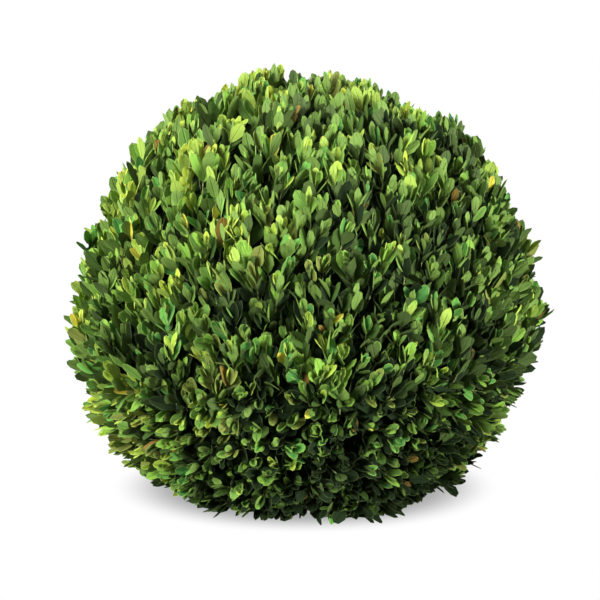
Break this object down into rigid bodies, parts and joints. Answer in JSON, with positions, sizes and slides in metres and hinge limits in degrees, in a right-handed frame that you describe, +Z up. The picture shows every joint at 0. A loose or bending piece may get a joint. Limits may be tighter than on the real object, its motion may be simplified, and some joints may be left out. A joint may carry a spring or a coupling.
{
  "type": "clipped box ball shrub",
  "caption": "Round clipped box shrub on a short hidden trunk: a dense leafy ball with a furrow low down, where the leaves turn from rising to hanging.",
  "frame": {"origin": "middle of the flat cut under the trunk, at ground level", "axes": "+Z up along the trunk, the shortest extent; +X is the way the trunk leans; -Y faces the viewer"},
  "size_m": [0.5257, 0.5227, 0.4722],
  "materials": {
    "bark": "fine furrowed grey-brown bark",
    "leaf_shaded": "small leathery leaves, dark green, half gloss",
    "leaf_mid": "small leathery leaves, mid green, half gloss",
    "leaf_light": "small leathery leaves, yellow green, half gloss"
  },
  "bodies": {
    "root": {"trunk": "bark", "foliage_skirt": "leaf_shaded", "foliage_flank": "leaf_mid", "foliage_crown": "leaf_light"}
  },
  "joints": []
}
